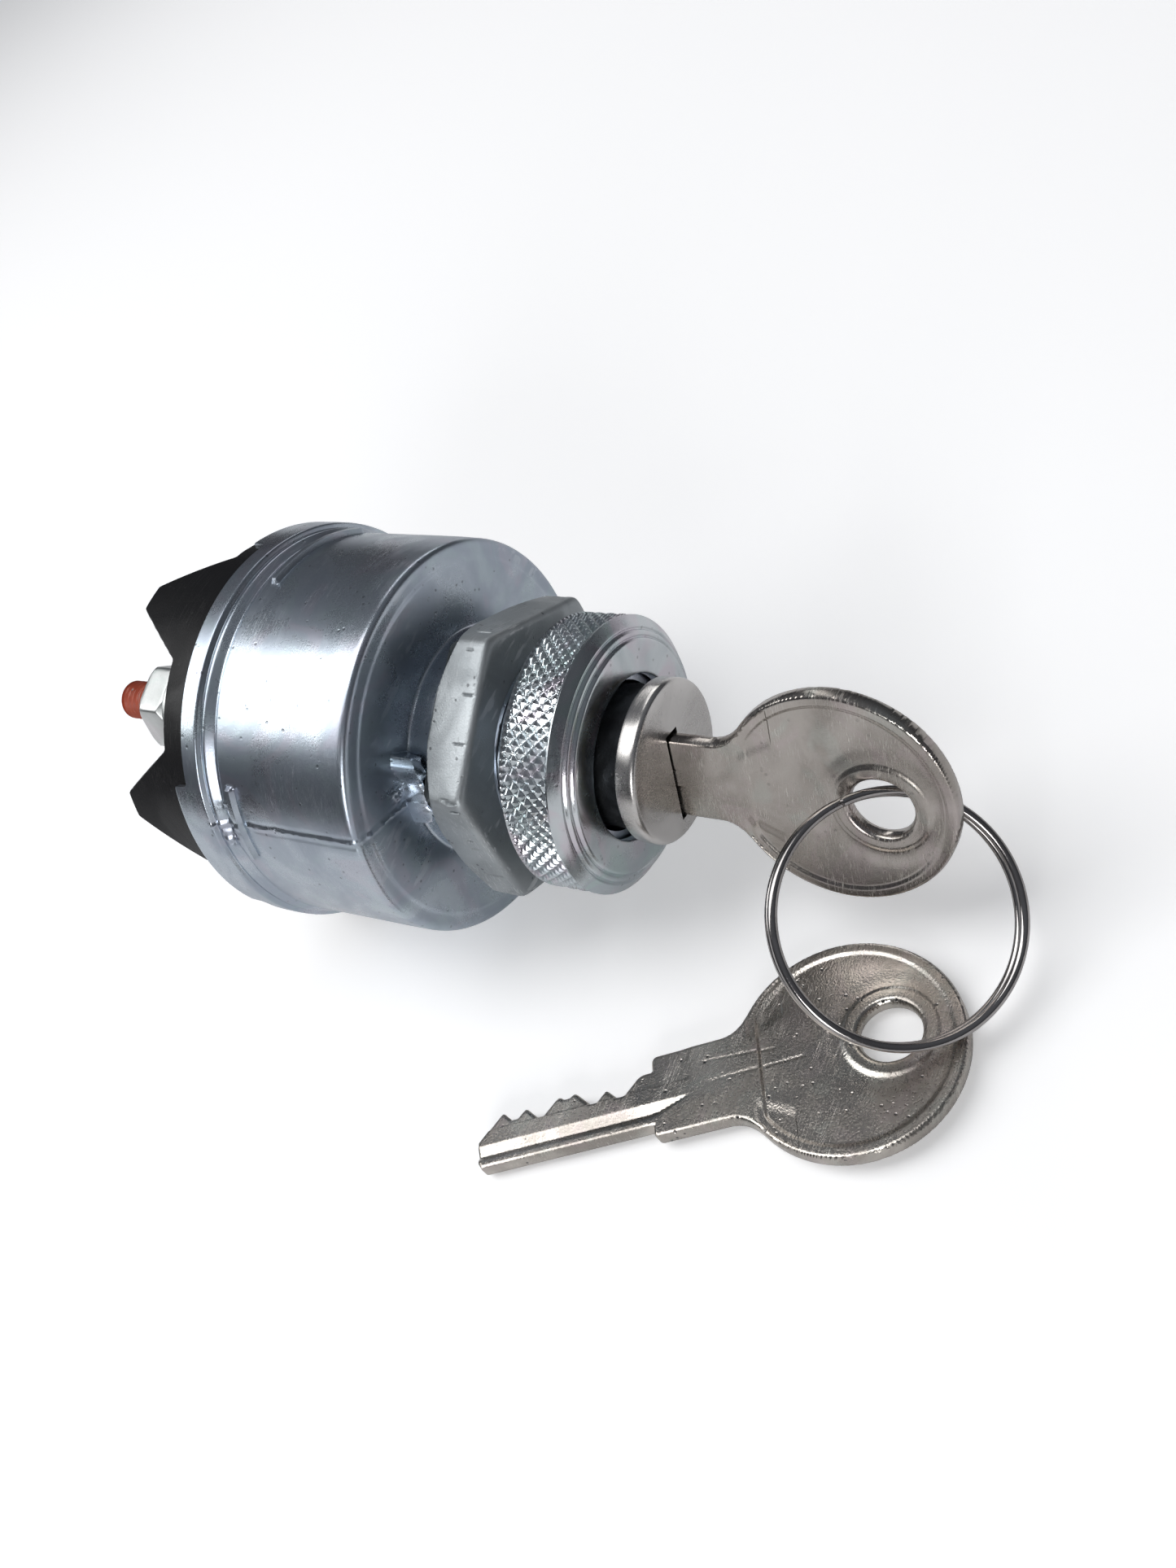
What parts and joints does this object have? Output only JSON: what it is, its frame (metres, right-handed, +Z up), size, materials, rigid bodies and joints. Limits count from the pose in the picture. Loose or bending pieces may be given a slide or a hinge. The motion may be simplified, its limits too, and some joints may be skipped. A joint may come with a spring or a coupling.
{
  "type": "panel key switch",
  "caption": "Panel-mounted ignition key selector switch with die-cast can, knurled bezel nut, stud terminals, key and spare on a split ring.",
  "frame": {"origin": "on the lock axis, at the jam nut's face that seats on the back of the panel", "axes": "-Y out of the panel towards the key, +Y towards the terminals, +Z up and +X to the right as the key's user sees it"},
  "size_m": [0.0704, 0.1088, 0.0514],
  "materials": {
    "zinc_casting": "die-cast zinc with a bluish clear chromate, satin",
    "cast_nut": "dull light grey cast zinc with scuffed edges",
    "bright_zinc": "bright zinc plate, diamond knurled",
    "stainless": "satin stainless cap",
    "nickel": "warm grey nickel plate, scratched",
    "ring_wire": "bright plated spring wire",
    "spring_steel": "plain spring steel",
    "brass": "plain machined brass",
    "plated_steel": "zinc plated steel; the battery terminal's end is painted red",
    "black_phenolic": "black moulded phenolic",
    "brown_phenolic": "brown moulded phenolic",
    "fibre": "grey fibre gasket"
  },
  "bodies": {
    "switch_body": {"housing": "zinc_casting", "hex_jam_nut": "cast_nut", "bezel_nut": "bright_zinc", "lock_shell": "zinc_casting", "base_gasket": "fibre", "terminal_base": "black_phenolic", "detent_ring": "spring_steel", "return_spring": "spring_steel", "terminal_stud_1": "plated_steel", "terminal_nut_1": "plated_steel", "terminal_washer_1": "plated_steel", "terminal_stud_2": "plated_steel", "terminal_nut_2": "plated_steel", "terminal_washer_2": "plated_steel", "terminal_stud_3": "plated_steel", "terminal_nut_3": "plated_steel", "terminal_washer_3": "plated_steel", "terminal_stud_4": "plated_steel", "terminal_nut_4": "plated_steel", "terminal_washer_4": "plated_steel", "terminal_stud_5": "plated_steel", "terminal_nut_5": "plated_steel", "terminal_washer_5": "plated_steel"},
    "key_plug": {"lock_plug": "brass", "face_cap": "stainless", "plug_clip": "spring_steel", "rotor": "brown_phenolic", "contact_plate": "brass", "contact_spring": "spring_steel", "detent_ball": "spring_steel", "detent_spring": "spring_steel", "wafer_spring_1": "spring_steel", "wafer_spring_2": "spring_steel", "wafer_spring_3": "spring_steel", "wafer_spring_4": "spring_steel", "wafer_spring_5": "spring_steel"},
    "wafers": {"wafer_1": "brass", "wafer_2": "brass", "wafer_3": "brass", "wafer_4": "brass", "wafer_5": "brass"},
    "lock_key": {"key_in_lock": "nickel"},
    "ring": {"split_ring": "ring_wire"},
    "spare": {"spare_key": "nickel"}
  },
  "joints": [
    {"name": "key_turn", "type": "hinge", "parent": "switch_body", "child": "key_plug", "pos_m": [0, 0, 0], "axis": [0, 1, 0], "range_deg": [-40, 75]},
    {"name": "wafer_slide", "type": "slide", "parent": "key_plug", "child": "wafers", "axis": [0.36, 0, 0.933], "range_m": [0, 0.0006]},
    {"name": "key_withdraw", "type": "slide", "parent": "key_plug", "child": "lock_key", "axis": [0, -1, 0], "range_m": [0, 0.03]},
    {"name": "ring_swing", "type": "hinge", "parent": "lock_key", "child": "ring", "pos_m": [-0.00079, -0.04016, -0.00205], "axis": [-0.933, 0, 0.36], "range_deg": [-5, 45]},
    {"name": "spare_swing", "type": "hinge", "parent": "ring", "child": "spare", "pos_m": [-0.01848, -0.04273, -0.01854], "axis": [-0.0665, -0.1213, -0.9904], "range_deg": [-90, 20]}
  ],
  "couplings": [
    {"joint": "wafer_slide", "follows": "key_withdraw", "ratio": 0.02}
  ]
}
